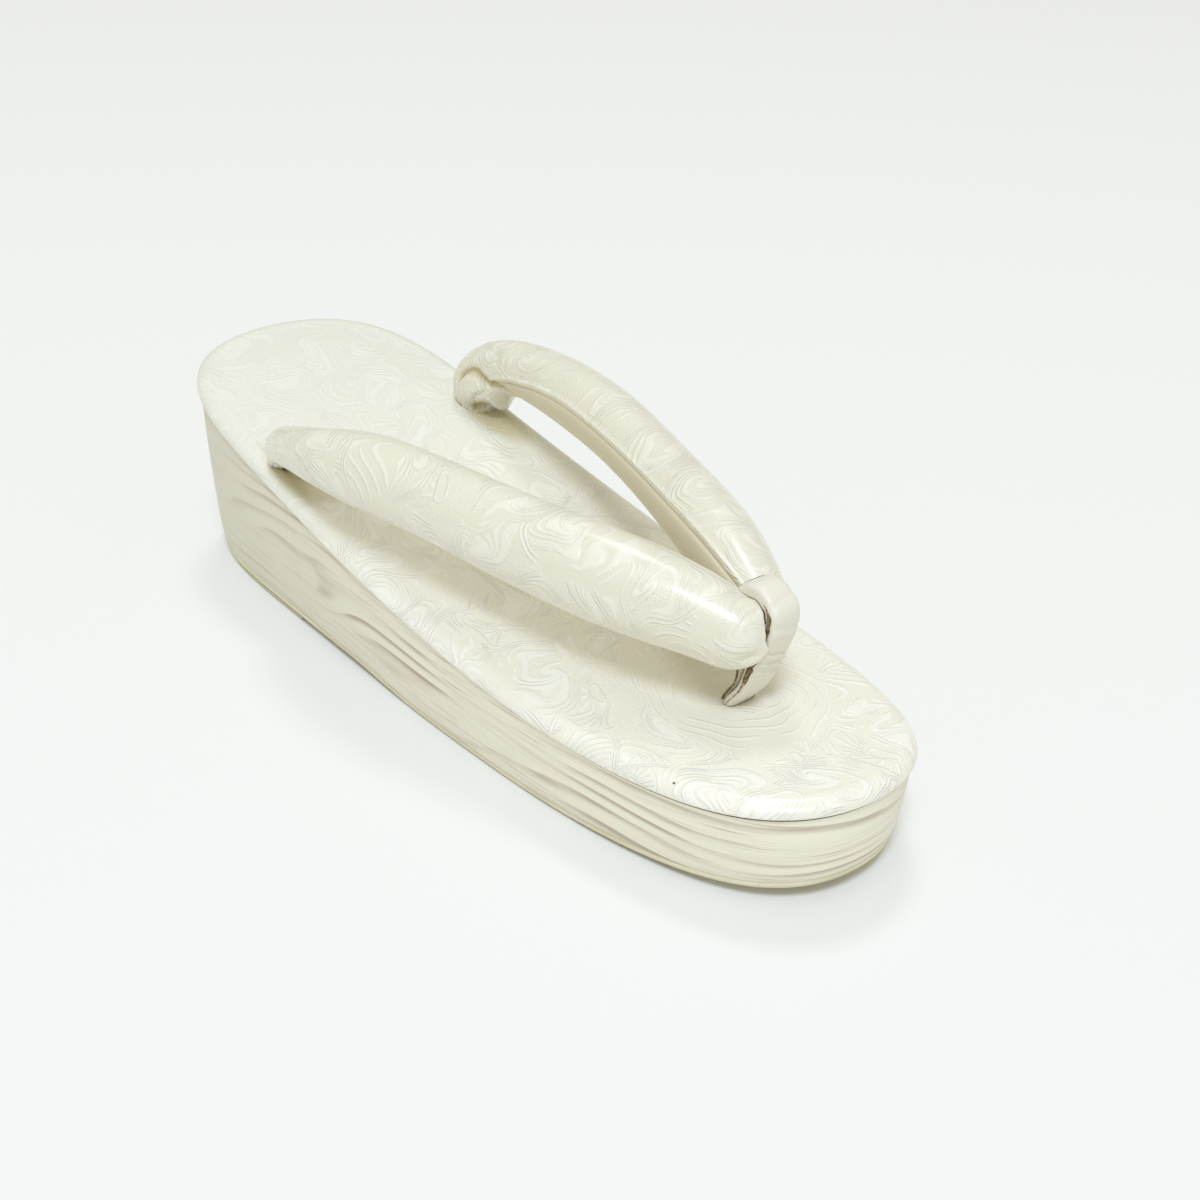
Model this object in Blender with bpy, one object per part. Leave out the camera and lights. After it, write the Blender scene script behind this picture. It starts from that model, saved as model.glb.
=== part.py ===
"""A zori sandal: a wedge sole with a rubber underside, an embossed top and a padded thong strap.

It stands on the XY plane with +Z up. The toe points along -Y, the wearer's right is -X, and the
origin lies on the floor under the middle of the sole. The sole's halves mirror each other across
X = 0, so it fits either foot. Sizes below are millimetres; finished meshes are in metres.
Places on the sandal are given as distance from the heel, distance across from the middle line,
and height.
"""
import bmesh
import bpy
import numpy as np

METRES = 0.001

# Sole
LENGTH = 240.0
WIDTH = 78.5
END_ROUNDNESS = 0.94
SOLE_COLUMNS = ("from_heel", "fullness", "top")
SOLE_ROWS = (
    (0, 1.80, 55.4),
    (12, 1.58, 52.9),
    (30, 1.34, 49.1),
    (60, 1.11, 42.8),
    (90, 1.02, 36.9),
    (120, 1.00, 31.9),
    (150, 1.02, 28.0),
    (180, 1.08, 25.7),
    (205, 1.17, 25.3),
    (225, 1.30, 26.1),
    (240, 1.44, 27.4),
)
TOE_SPRING = 4.2
TOE_SPRING_START = 160.0
FOREFOOT_START = 128.0
ARCH_START = 95.0

# Layers, from the floor up
GAP = 0.3
HEEL_PAD_THICKNESS = 1.2
HEEL_PAD_END = 70.0
CORNER_ROOM = 1.5
OUTSOLE_THICKNESS = 1.8
TOP_THICKNESS = 3.5
TOP_CUSHION = 0.7

# Edge profiles: distance in from the widest outline, and height
HEEL_PAD_EDGE = ((4.6, 0.0), (4.0, 0.5), (3.8, HEEL_PAD_THICKNESS))
OUTSOLE_EDGE = ((4.3, 0.0), (3.6, 0.5), (3.3, OUTSOLE_THICKNESS))
WEDGE_EDGE_COLUMNS = ("part_of_height", "inset")
WEDGE_EDGE_ROWS = ((0.0, 3.4), (0.04, 2.9), (0.15, 2.4), (0.4, 1.7), (0.7, 1.15), (1.0, 0.9))
RIM_WIDTH = 4.6
RIM_UNDERCUT = 0.5
RIM_STEPS = 5
CUSHION_WIDTH = 15.0

# Strap limbs, from the end in the sole by the heel to the toe; across is from the middle line.
# The right limb is gathered tighter where it enters the sole, and the two are alike from there on.
LIMB_COLUMNS = ("from_heel", "across", "above_top", "half_width", "tilt")
RIGHT_LIMB_BACK = (
    (62.0, 30.6, -9.0, 3.8, -10),
    (61.5, 31.0, 0.0, 4.2, -12),
    (64.8, 32.4, 5.0, 4.6, 0),
    (70.0, 34.6, 10.2, 5.0, 10),
    (85.5, 35.0, 16.4, 6.7, 30),
    (104.0, 32.2, 21.4, 9.0, 45),
    (124.0, 28.4, 24.3, 9.4, 48),
)
LEFT_LIMB_BACK = (
    (62.0, 29.8, -9.0, 4.5, -10),
    (60.5, 31.2, 0.0, 5.8, -14),
    (61.0, 31.0, 6.4, 7.2, -5),
    (68.0, 33.8, 13.4, 7.9, 10),
    (85.0, 34.5, 18.2, 9.3, 30),
    (104.0, 32.0, 22.0, 10.1, 45),
    (124.0, 28.2, 24.6, 10.1, 48),
)
LIMB_FRONT = (
    (148.0, 22.6, 25.1, 10.0, 53),
    (174.0, 14.7, 24.6, 10.4, 60),
    (191.0, 7.9, 22.6, 9.2, 68),
    (201.0, 3.9, 20.4, 8.1, 73),
    (207.4, 0.8, 18.8, 7.2, 75),
)
LEFT_LIMB = LEFT_LIMB_BACK + LIMB_FRONT
RIGHT_LIMB = RIGHT_LIMB_BACK + LIMB_FRONT
LEFT = 1
RIGHT = -1
MIDDLE_LINE = np.array([0.0, 1.0, 0.0])
LIMB_THICKNESS_SHARE = 0.9
LINING_SHARE = 0.85
LINING_FLATNESS = 0.8
LIMB_TIP = 8.5
LIMB_BLUNTNESS = 0.02
LIMB_STEPS = 3
LIMB_SIDES = 22

# Toe loop: a band that comes out of the sole, runs up behind the crossing and down in front of it
LOOP_COLUMNS = ("from_heel", "across", "above_hole", "half_width", "half_thickness")
LOOP_ROWS = (
    (193.4, 2.3, -8.0, 3.0, 1.4),
    (193.2, 2.2, 0.0, 3.3, 1.5),
    (195.9, 1.9, 5.6, 3.5, 1.6),
    (198.0, 1.9, 10.8, 3.6, 1.7),
    (198.3, 1.9, 16.0, 3.7, 1.8),
    (197.2, 1.9, 21.5, 3.7, 1.9),
    (197.2, 1.9, 26.2, 3.7, 1.9),
    (200.0, 1.9, 29.0, 3.7, 1.9),
    (203.7, 1.9, 29.1, 3.7, 1.9),
    (206.6, 1.9, 26.6, 3.7, 1.9),
    (206.9, 1.9, 22.9, 3.7, 1.9),
    (205.3, 1.9, 17.3, 3.7, 1.9),
    (203.5, 1.9, 11.5, 3.6, 1.8),
    (200.6, 2.0, 5.6, 3.5, 1.6),
    (196.8, 2.2, 0.2, 3.3, 1.5),
    (196.6, 2.3, -4.0, 3.1, 1.4),
    (196.6, 2.3, -8.0, 3.0, 1.4),
)
LOOP_SOFTNESS = 0.75
LOOP_HOLE = 196.0
LOOP_STEPS = 3
LOOP_SIDES = 18

OUTLINE_POINTS = 88
SHARP_EDGE = 35.0

# Colours in linear light, and how matt each piece is
FINISH_COLUMNS = ("piece", "red", "green", "blue", "roughness")
FINISH_ROWS = (
    ("heel_pad", 0.70, 0.66, 0.48, 0.60),
    ("outsole", 0.74, 0.70, 0.50, 0.60),
    ("wedge", 0.66, 0.62, 0.48, 0.45),
    ("top_cover", 0.83, 0.81, 0.71, 0.35),
    ("strap", 0.86, 0.84, 0.74, 0.35),
    ("toe_loop", 0.84, 0.82, 0.72, 0.40),
)


def column(rows, columns, name):
    """One column of a table, as numbers."""
    return np.array([row[columns.index(name)] for row in rows], dtype=float)


def smooth(knots, values, at):
    """A natural cubic curve through the knots, read at the places in at."""
    step = np.diff(knots)
    slope = np.diff(values) / step
    count = len(knots)
    matrix = np.eye(count)
    right = np.zeros(count)
    for i in range(1, count - 1):
        matrix[i, i - 1] = step[i - 1]
        matrix[i, i] = 2 * (step[i - 1] + step[i])
        matrix[i, i + 1] = step[i]
        right[i] = 3 * (slope[i] - slope[i - 1])
    bend = np.linalg.solve(matrix, right)
    at = np.asarray(at, dtype=float)
    i = np.clip(np.searchsorted(knots, at) - 1, 0, count - 2)
    along = at - knots[i]
    lean = slope[i] - step[i] * (2 * bend[i] + bend[i + 1]) / 3
    curl = (bend[i + 1] - bend[i]) / (3 * step[i])
    return values[i] + along * (lean + along * (bend[i] + along * curl))


def ease(share):
    """Goes from 0 to 1 with level ends."""
    share = np.clip(share, 0, 1)
    return share * share * (3 - 2 * share)


def sole_value(name, from_heel):
    """A column of the sole's table, read smoothly at any distance from the heel."""
    knots = column(SOLE_ROWS, SOLE_COLUMNS, "from_heel")
    return smooth(knots, column(SOLE_ROWS, SOLE_COLUMNS, name), from_heel)


def top_height(from_heel):
    """Height of the sole's rim, where the foot rests."""
    return sole_value("top", np.clip(from_heel, 0, LENGTH))


def underside_height(from_heel):
    """Height of the outsole: level under the heel pad, down to the floor at the forefoot, up at the toe."""
    heel = (HEEL_PAD_THICKNESS + GAP) * (1 - ease((from_heel - ARCH_START) / (FOREFOOT_START - ARCH_START)))
    toe = np.clip((from_heel - TOE_SPRING_START) / (LENGTH - TOE_SPRING_START), 0, 1)
    return heel + TOE_SPRING * toe ** 2


def outline(inset):
    """The sole's plan, drawn in by inset: toe first, round one side to the heel and back."""
    turn = np.linspace(0, 2 * np.pi, OUTLINE_POINTS, endpoint=False)
    from_heel = LENGTH / 2 * (1 + np.cos(turn))
    oval = np.sign(np.sin(turn)) * np.abs(np.sin(turn)) ** END_ROUNDNESS
    across = WIDTH / 2 * sole_value("fullness", from_heel) * oval
    along_edge = np.roll(from_heel, -1) - np.roll(from_heel, 1)
    across_edge = np.roll(across, -1) - np.roll(across, 1)
    length = np.hypot(along_edge, across_edge)
    return from_heel - inset * across_edge / length, across + inset * along_edge / length


def ring(inset, height):
    """A ring of points on the sole's plan; height is a number or a function of the distance from the heel."""
    from_heel, across = outline(inset)
    level = height(from_heel) if callable(height) else np.full_like(from_heel, height)
    return np.stack([from_heel, across, level], axis=1)


def crosswise(count, first):
    """Faces that fill a ring with strips across the sandal, each from one side to the other."""
    faces = []
    for i in range(count // 2):
        strip = [i, i + 1, (count - i - 1) % count, (count - i) % count]
        faces.append([first + corner for corner in dict.fromkeys(strip)])
    return faces


def one_face(count, first):
    """A single flat face that fills a ring."""
    return [list(range(first, first + count))]


def solid(name, rings, fill):
    """A closed solid skinned over rings that have the same number of points."""
    count = len(rings[0])
    points = np.concatenate(rings)
    faces = fill(count, 0) + fill(count, count * (len(rings) - 1))
    for level in range(len(rings) - 1):
        for i in range(count):
            j = (i + 1) % count
            low, high = level * count, (level + 1) * count
            faces.append([low + i, low + j, high + j, high + i])
    places = [(across * METRES, (LENGTH / 2 - along) * METRES, up * METRES) for along, across, up in points]
    mesh = bpy.data.meshes.new(name)
    mesh.from_pydata(places, [], faces)
    shape = bmesh.new()
    shape.from_mesh(mesh)
    bmesh.ops.recalc_face_normals(shape, faces=shape.faces)
    shape.to_mesh(mesh)
    shape.free()
    mesh.shade_smooth()
    mesh.set_sharp_from_angle(angle=np.radians(SHARP_EDGE))
    thing = bpy.data.objects.new(name, mesh)
    bpy.context.collection.objects.link(thing)
    return thing


def guide(thing):
    """Marks a solid that only cuts or joins another."""
    thing.hide_render = True
    thing.display_type = "WIRE"
    return thing


def combine(thing, other, operation):
    """Joins another solid to thing, or cuts it away, and leaves the modifier live."""
    modifier = thing.modifiers.new(other.name, "BOOLEAN")
    modifier.object = other
    modifier.operation = operation
    modifier.solver = "EXACT"


def finish(thing):
    """Gives a piece its own material, from the table of finishes."""
    row = [row for row in FINISH_ROWS if row[0] == thing.name][0]
    look = dict(zip(FINISH_COLUMNS, row))
    colour = (look["red"], look["green"], look["blue"], 1)
    material = bpy.data.materials.new(thing.name)
    material.use_nodes = True
    shader = material.node_tree.nodes["Principled BSDF"]
    shader.inputs["Base Color"].default_value = colour
    shader.inputs["Roughness"].default_value = look["roughness"]
    shader.inputs["Metallic"].default_value = 0
    material.diffuse_color = colour
    thing.data.materials.append(material)


def heel_pad():
    """The rubber lift under the heel, cut straight across at its front."""
    kept = outline(0)[0] < HEEL_PAD_END - CORNER_ROOM
    rings = []
    for inset, height in HEEL_PAD_EDGE:
        level = ring(inset, height)
        front = HEEL_PAD_END - inset + HEEL_PAD_EDGE[-1][0]
        one_side = level[OUTLINE_POINTS // 2:0:-1]
        corner = np.interp(front, one_side[:, 0], one_side[:, 1])
        corners = [[front, -corner, height], [front, corner, height]]
        rings.append(np.concatenate([level[kept], corners]))
    return solid("heel_pad", rings, one_face)


def outsole():
    """The thin rubber sheet that covers the underside from heel to toe."""
    rings = [ring(inset, lambda s, up=up: underside_height(s) + up) for inset, up in OUTSOLE_EDGE]
    return solid("outsole", rings, crosswise)


def wedge():
    """The body of the sole, high at the heel, wrapped in a wood-grain sheet."""
    def low(from_heel):
        return underside_height(from_heel) + OUTSOLE_THICKNESS + GAP

    def high(from_heel):
        return top_height(from_heel) - TOP_THICKNESS - GAP

    rings = []
    for share, inset in WEDGE_EDGE_ROWS:
        rings.append(ring(inset, lambda s, share=share: low(s) + share * (high(s) - low(s))))
    return solid("wedge", rings, crosswise)


def top_cover():
    """The padded board under the foot, its embossed cover turned down round a soft rim."""
    def under(from_heel):
        return top_height(from_heel) - TOP_THICKNESS

    rings = [ring(RIM_UNDERCUT, under), ring(0, lambda s: under(s) + RIM_UNDERCUT)]
    rise = TOP_THICKNESS - RIM_UNDERCUT
    for step in range(1, RIM_STEPS + 1):
        turn = np.pi / 2 * step / RIM_STEPS
        inset = RIM_WIDTH * (1 - np.cos(turn))
        rings.append(ring(inset, lambda s, up=rise * np.sin(turn): under(s) + RIM_UNDERCUT + up))
    cushion = RIM_WIDTH + CUSHION_WIDTH
    rings.append(ring(cushion, lambda s: top_height(s) + TOP_CUSHION))
    return solid("top_cover", rings, crosswise)


def path(rows, columns, steps):
    """Each column of a table read smoothly between its rows, steps to a row."""
    knots = np.arange(len(rows), dtype=float)
    at = np.linspace(0, knots[-1], (len(rows) - 1) * steps + 1)
    return {name: smooth(knots, column(rows, columns, name), at) for name in columns}


def unit(vectors):
    """Vectors of length one."""
    return vectors / np.linalg.norm(vectors, axis=-1, keepdims=True)


def square_to(directions, vector):
    """The part of one vector that is square to each direction, at length one."""
    return unit(vector - (directions @ vector)[:, None] * directions)


def swept(centre, broad, wide, thick):
    """Rings along a path: wide and thick give each ring's places across and through the band."""
    through = np.cross(unit(np.gradient(centre, axis=0)), broad)
    rings = []
    for i in range(len(centre)):
        rings.append(centre[i] + np.outer(wide[i], broad[i]) + np.outer(thick[i], through[i]))
    return rings


def limb(name, rows, side, grow):
    """One limb of the strap: a stuffed tube, flatter on its lined underside, tilted to the foot."""
    read = path(rows, LIMB_COLUMNS, LIMB_STEPS)
    height = top_height(read["from_heel"]) + read["above_top"]
    centre = np.stack([read["from_heel"], read["across"], height], axis=1)
    steps = np.linalg.norm(np.diff(centre, axis=0), axis=1)
    to_tip = np.append(np.cumsum(steps[::-1])[::-1], 0)
    rounding = np.sqrt(1 - (1 - np.clip(to_tip / LIMB_TIP, LIMB_BLUNTNESS, 1)) ** 2)
    half = (read["half_width"] * rounding + grow)[:, None]
    along = unit(np.gradient(centre, axis=0))
    level = square_to(along, MIDDLE_LINE)
    lean = np.radians(read["tilt"])[:, None]
    broad = level * np.cos(lean) - np.cross(along, level) * np.sin(lean)
    turn = np.linspace(0, 2 * np.pi, LIMB_SIDES, endpoint=False)
    lined = -LINING_SHARE * np.abs(np.sin(turn)) ** LINING_FLATNESS
    round_side = np.where(np.sin(turn) >= 0, np.sin(turn), lined)
    rings = swept(centre, broad, half * np.cos(turn), half * LIMB_THICKNESS_SHARE * round_side)
    rings[0] = rings[0] - along[0] * grow
    for points in rings:
        points[:, 1] *= side
    return solid(name, rings, one_face)


def loop(name, grow):
    """The band through the toe hole that binds the two limbs together."""
    read = path(LOOP_ROWS, LOOP_COLUMNS, LOOP_STEPS)
    centre = np.stack([read["from_heel"], read["across"], top_height(LOOP_HOLE) + read["above_hole"]], axis=1)
    along = unit(np.gradient(centre, axis=0))
    centre[0] -= along[0] * grow
    centre[-1] += along[-1] * grow
    turn = np.linspace(0, 2 * np.pi, LOOP_SIDES, endpoint=False)
    wide = np.sign(np.cos(turn)) * np.abs(np.cos(turn)) ** LOOP_SOFTNESS
    thick = np.sign(np.sin(turn)) * np.abs(np.sin(turn)) ** LOOP_SOFTNESS
    half_width = (read["half_width"] + grow)[:, None]
    half_thickness = (read["half_thickness"] + grow)[:, None]
    rings = swept(centre, square_to(along, MIDDLE_LINE), half_width * wide, half_thickness * thick)
    return solid(name, rings, one_face)


for old in list(bpy.data.objects):
    bpy.data.objects.remove(old)

pad = heel_pad()
sheet = outsole()
body = wedge()
cover = top_cover()
strap = limb("strap", LEFT_LIMB, LEFT, 0)
right_limb = guide(limb("right_limb", RIGHT_LIMB, RIGHT, 0))
toe_loop = loop("toe_loop", 0)

left_clearance = guide(limb("left_limb_clearance", LEFT_LIMB, LEFT, GAP))
right_clearance = guide(limb("right_limb_clearance", RIGHT_LIMB, RIGHT, GAP))
loop_clearance = guide(loop("loop_clearance", GAP))

combine(strap, right_limb, "UNION")
combine(strap, loop_clearance, "DIFFERENCE")
for piece in (body, cover):
    for cutter in (left_clearance, right_clearance, loop_clearance):
        combine(piece, cutter, "DIFFERENCE")

for piece in (pad, sheet, body, cover, strap, toe_loop):
    finish(piece)
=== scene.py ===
"""Looks of a zori sandal: wood-grain wedge sole, embossed pearly top and padded thong strap.

Places on the sandal are in millimetres, as distance from the heel, distance across from the middle
line (the wearer's left is positive) and height; finished meshes are in metres, in the CAD's frame.
"""

import bmesh
import bpy
import numpy as np
from mathutils import Matrix, Vector


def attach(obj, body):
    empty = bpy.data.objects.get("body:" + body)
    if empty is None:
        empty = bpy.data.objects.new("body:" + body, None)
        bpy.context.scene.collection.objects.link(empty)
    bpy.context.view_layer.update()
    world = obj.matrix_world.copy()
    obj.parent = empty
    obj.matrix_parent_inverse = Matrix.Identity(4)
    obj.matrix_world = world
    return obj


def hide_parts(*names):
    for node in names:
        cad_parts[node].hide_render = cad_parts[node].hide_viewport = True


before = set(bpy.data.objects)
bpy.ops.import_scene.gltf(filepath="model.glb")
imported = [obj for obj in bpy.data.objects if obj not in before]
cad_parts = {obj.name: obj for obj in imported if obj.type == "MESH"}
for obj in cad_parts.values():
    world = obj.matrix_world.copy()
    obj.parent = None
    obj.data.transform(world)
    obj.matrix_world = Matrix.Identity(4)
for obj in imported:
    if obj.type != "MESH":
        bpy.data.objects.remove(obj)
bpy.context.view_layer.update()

# ---------------------------------------------------------------- outsole and heel pad
# The underside is a thin cream rubber sheet glued to the whole sole, with a second, shorter sheet
# under the heel that is cut straight across at its front. Both are cut a little inside the wedge.
METRES = 0.001
LENGTH = 240.0
WIDTH = 78.5
END_ROUNDNESS = 0.94
SOLE_COLUMNS = ("from_heel", "fullness", "top")
SOLE_ROWS = (
    (0, 1.80, 55.4),
    (12, 1.58, 52.9),
    (30, 1.34, 49.1),
    (60, 1.11, 42.8),
    (90, 1.02, 36.9),
    (120, 1.00, 31.9),
    (150, 1.02, 28.0),
    (180, 1.08, 25.7),
    (205, 1.17, 25.3),
    (225, 1.30, 26.1),
    (240, 1.44, 27.4),
)
TOE_SPRING = 4.2
TOE_SPRING_START = 160.0
FOREFOOT_START = 128.0
ARCH_START = 95.0
GAP = 0.3
HEEL_PAD_THICKNESS = 1.2
HEEL_PAD_END = 70.0
CORNER_ROOM = 1.5
OUTSOLE_THICKNESS = 1.8
HEEL_PAD_EDGE = ((4.6, 0.0), (4.0, 0.5), (3.8, 0.8), (3.8, HEEL_PAD_THICKNESS))
OUTSOLE_EDGE = (
    (4.3, 0.0),
    (3.7, 0.25),
    (3.4, 0.6),
    (3.3, 1.0),
    (3.35, 1.5),
    (3.5, OUTSOLE_THICKNESS),
)
OUTLINE_POINTS = 400
SHARP_EDGE = 40.0
MAP_UNIT = 100.0
SAME_PLACE = 1e-7
RUBBER = (226, 221, 194)
RUBBER_MOTTLE = (214, 208, 178)
MOTTLE_SCALE = 60
MOTTLE_SHOWS = (0.35, 0.7)
RUBBER_GRAIN_SCALE = 1800
RUBBER_GRAIN = 0.00006


def column(rows, columns, name):
    """One column of a table, as numbers."""
    return np.array([row[columns.index(name)] for row in rows], dtype=float)


def smooth(knots, values, at):
    """A natural cubic curve through the knots, read at the places in at."""
    step = np.diff(knots)
    slope = np.diff(values) / step
    count = len(knots)
    matrix = np.eye(count)
    right = np.zeros(count)
    for i in range(1, count - 1):
        matrix[i, i - 1] = step[i - 1]
        matrix[i, i] = 2 * (step[i - 1] + step[i])
        matrix[i, i + 1] = step[i]
        right[i] = 3 * (slope[i] - slope[i - 1])
    bend = np.linalg.solve(matrix, right)
    at = np.asarray(at, dtype=float)
    i = np.clip(np.searchsorted(knots, at) - 1, 0, count - 2)
    along = at - knots[i]
    lean = slope[i] - step[i] * (2 * bend[i] + bend[i + 1]) / 3
    curl = (bend[i + 1] - bend[i]) / (3 * step[i])
    return values[i] + along * (lean + along * (bend[i] + along * curl))


def ease(share):
    """Goes from 0 to 1 with level ends."""
    share = np.clip(share, 0, 1)
    return share * share * (3 - 2 * share)


def sole_value(name, from_heel):
    """A column of the sole's table, read smoothly at any distance from the heel."""
    knots = column(SOLE_ROWS, SOLE_COLUMNS, "from_heel")
    return smooth(knots, column(SOLE_ROWS, SOLE_COLUMNS, name), np.clip(from_heel, 0, LENGTH))


def top_height(from_heel):
    """Height of the sole's rim, where the foot rests."""
    return sole_value("top", from_heel)


def underside_height(from_heel):
    """Height of the outsole: raised under the heel and the toe, on the floor at the forefoot."""
    down = ease((from_heel - ARCH_START) / (FOREFOOT_START - ARCH_START))
    heel = (HEEL_PAD_THICKNESS + GAP) * (1 - down)
    toe = np.clip((from_heel - TOE_SPRING_START) / (LENGTH - TOE_SPRING_START), 0, 1)
    return heel + TOE_SPRING * toe ** 2


def outline(inset):
    """The sole's plan, drawn in by inset: toe first, round one side to the heel and back."""
    turn = np.linspace(0, 2 * np.pi, OUTLINE_POINTS, endpoint=False)
    from_heel = LENGTH / 2 * (1 + np.cos(turn))
    oval = np.sign(np.sin(turn)) * np.abs(np.sin(turn)) ** END_ROUNDNESS
    across = WIDTH / 2 * sole_value("fullness", from_heel) * oval
    along_edge = np.roll(from_heel, -1) - np.roll(from_heel, 1)
    across_edge = np.roll(across, -1) - np.roll(across, 1)
    length = np.hypot(along_edge, across_edge)
    return from_heel - inset * across_edge / length, across + inset * along_edge / length


def ring(inset, height):
    """A ring of points on the sole's plan, at a height that follows the distance from the heel."""
    from_heel, across = outline(inset)
    return np.stack([from_heel, across, height(from_heel)], axis=1)


def crosswise(count, first):
    """Faces that fill a ring with strips across the sandal, each from one side to the other."""
    faces = []
    for i in range(count // 2):
        strip = [i, i + 1, (count - i - 1) % count, (count - i) % count]
        faces.append([first + corner for corner in dict.fromkeys(strip)])
    return faces


def one_face(count, first):
    """A single flat face that fills a ring."""
    return [list(range(first, first + count))]


def in_frame(points):
    """Places on the sandal, in millimetres, as places in the CAD's frame, in metres."""
    points = np.asarray(points, dtype=float)
    return np.stack([points[:, 1], LENGTH / 2 - points[:, 0], points[:, 2]], axis=1) * METRES


def skin(name, rings, fills, along=None, around=None):
    """A closed skin over rings of points. Along and around lay a map on it, in map units."""
    count = len(rings[0])
    levels = len(rings)
    faces = []
    for level in range(levels - 1):
        for i in range(count):
            j = (i + 1) % count
            low, high = level * count, (level + 1) * count
            faces.append([low + i, low + j, high + j, high + i])
    sides = len(faces)
    for fill, level in zip(fills, (0, levels - 1)):
        faces += fill(count, count * level) if fill else []
    mesh = bpy.data.meshes.new(name)
    mesh.from_pydata(in_frame(np.concatenate(rings)).tolist(), [], faces)
    if along is not None:
        grid = np.zeros((levels - 1, count, 4, 2))
        for corner, (up, on) in enumerate(((0, 0), (0, 1), (1, 1), (1, 0))):
            grid[:, :, corner, 0] = along[up:levels - 1 + up, on:count + on]
            grid[:, :, corner, 1] = around[up:levels - 1 + up, on:count + on]
        spots = np.zeros((len(mesh.loops), 2))
        spots[:sides * 4] = grid.reshape(-1, 2)
        mesh.uv_layers.new(name="UVMap").data.foreach_set("uv", spots.ravel())
    return mesh


def piece(name, mesh, *materials):
    """Makes an object of a mesh, with its faces turned outwards and its own materials."""
    shape = bmesh.new()
    shape.from_mesh(mesh)
    bmesh.ops.remove_doubles(shape, verts=shape.verts, dist=SAME_PLACE)
    bmesh.ops.recalc_face_normals(shape, faces=shape.faces)
    shape.to_mesh(mesh)
    shape.free()
    mesh.shade_smooth()
    mesh.set_sharp_from_angle(angle=np.radians(SHARP_EDGE))
    thing = bpy.data.objects.new(name, mesh)
    bpy.context.scene.collection.objects.link(thing)
    for material in materials:
        mesh.materials.append(material)
    return thing


class Wire:
    """A socket in a node tree. Sums written with it add the nodes that work them out."""

    def __init__(self, tree, socket=None):
        self.tree = tree
        self.socket = socket

    def node(self, kind, settings, values, output=0):
        """Any node: its settings first, then the values or links of its sockets."""
        node = self.tree.nodes.new(kind if "Node" in kind else "ShaderNode" + kind)
        stops = settings.pop("stops", None)
        for name, value in settings.items():
            setattr(node, name, value)
        if stops:
            ramp = node.color_ramp.elements
            while len(ramp) < len(stops):
                ramp.new(0.5)
            for stop, (place, shade) in zip(ramp, stops):
                stop.position = place
                stop.color = (*shade, 1) if hasattr(shade, "__len__") else (shade, shade, shade, 1)
        for name, value in values.items():
            if isinstance(value, Wire):
                self.tree.links.new(value.socket, node.inputs[name])
            else:
                node.inputs[name].default_value = value
        return Wire(self.tree, node.outputs[output])

    def math(self, operation, *others):
        """A sum of this value with others."""
        return self.node("Math", {"operation": operation}, dict(enumerate((self, *others))))

    def __add__(self, other):
        return self.math("ADD", other)

    def __sub__(self, other):
        return self.math("SUBTRACT", other)

    def __mul__(self, other):
        return self.math("MULTIPLY", other)

    def __truediv__(self, other):
        return self.math("DIVIDE", other)

    def __rsub__(self, other):
        return self.node("Math", {"operation": "SUBTRACT"}, {0: other, 1: self})

    __radd__ = __add__
    __rmul__ = __mul__

    def between(self, low, high):
        """Rises smoothly from 0 at low to 1 at high."""
        settings = {"interpolation_type": "SMOOTHSTEP"}
        return self.node("MapRange", settings, {"Value": self, "From Min": low, "From Max": high})

    def mix(self, first, second):
        """Goes from the first colour to the second as this value goes from 0 to 1."""
        return self.node("Mix", {"data_type": "RGBA"}, {0: self, 6: first, 7: second}, 2)

    def noise(self, scale, detail=2.0, roughness=0.5, output=0):
        """Noise at places given by this vector."""
        values = {"Vector": self, "Scale": scale, "Detail": detail, "Roughness": roughness}
        return self.node("TexNoise", {}, values, output)

    def vector(self, operation, other):
        """A sum of this vector with another, or the distance between the two."""
        output = 1 if operation == "DISTANCE" else 0
        return self.node("VectorMath", {"operation": operation}, {0: self, 1: other}, output)

    def length(self):
        """The length of this vector."""
        return self.node("VectorMath", {"operation": "LENGTH"}, {0: self}, 1)

    def part(self, axis):
        """One of this vector's three numbers."""
        return self.node("SeparateXYZ", {}, {0: self}, axis)

    def off_middle(self):
        """How far this value is from the middle between two whole numbers."""
        return self.math("FRACT") - 0.5

    def places(self):
        """Places in the frame, in metres."""
        return self.node("TexCoord", {}, {}, "Object")

    def map_places(self):
        """Places on the piece's own flat map, in millimetres."""
        return self.node("UVMap", {}, {}).vector("MULTIPLY", (MAP_UNIT, MAP_UNIT, 0))


def finish(name, **constants):
    """A new material: its principled shader with these constants, and a wire to start sums from."""
    material = bpy.data.materials.new(name)
    material.use_nodes = True
    shader = material.node_tree.nodes["Principled BSDF"]
    for socket, value in constants.items():
        shader.inputs[socket.replace("_", " ")].default_value = value
    return material, shader, Wire(material.node_tree)


def feed(shader, **wires):
    """Links values that vary over a surface to the shader."""
    for socket, wire in wires.items():
        wire.tree.links.new(wire.socket, shader.inputs[socket.replace("_", " ")])


def bump(height, distance, strength=1.0, under=None):
    """Low relief: height times distance, in metres, laid over the relief under it."""
    values = {"Height": height, "Distance": distance, "Strength": strength}
    if under:
        values["Normal"] = under
    return height.node("Bump", {}, values)


def rgb(red, green, blue):
    """A colour given as it shows on a screen, from 0 to 255, in linear light."""
    share = np.array([red, green, blue]) / 255
    linear = np.where(share <= 0.04045, share / 12.92, ((share + 0.055) / 1.055) ** 2.4)
    return (*linear.tolist(), 1.0)


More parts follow.
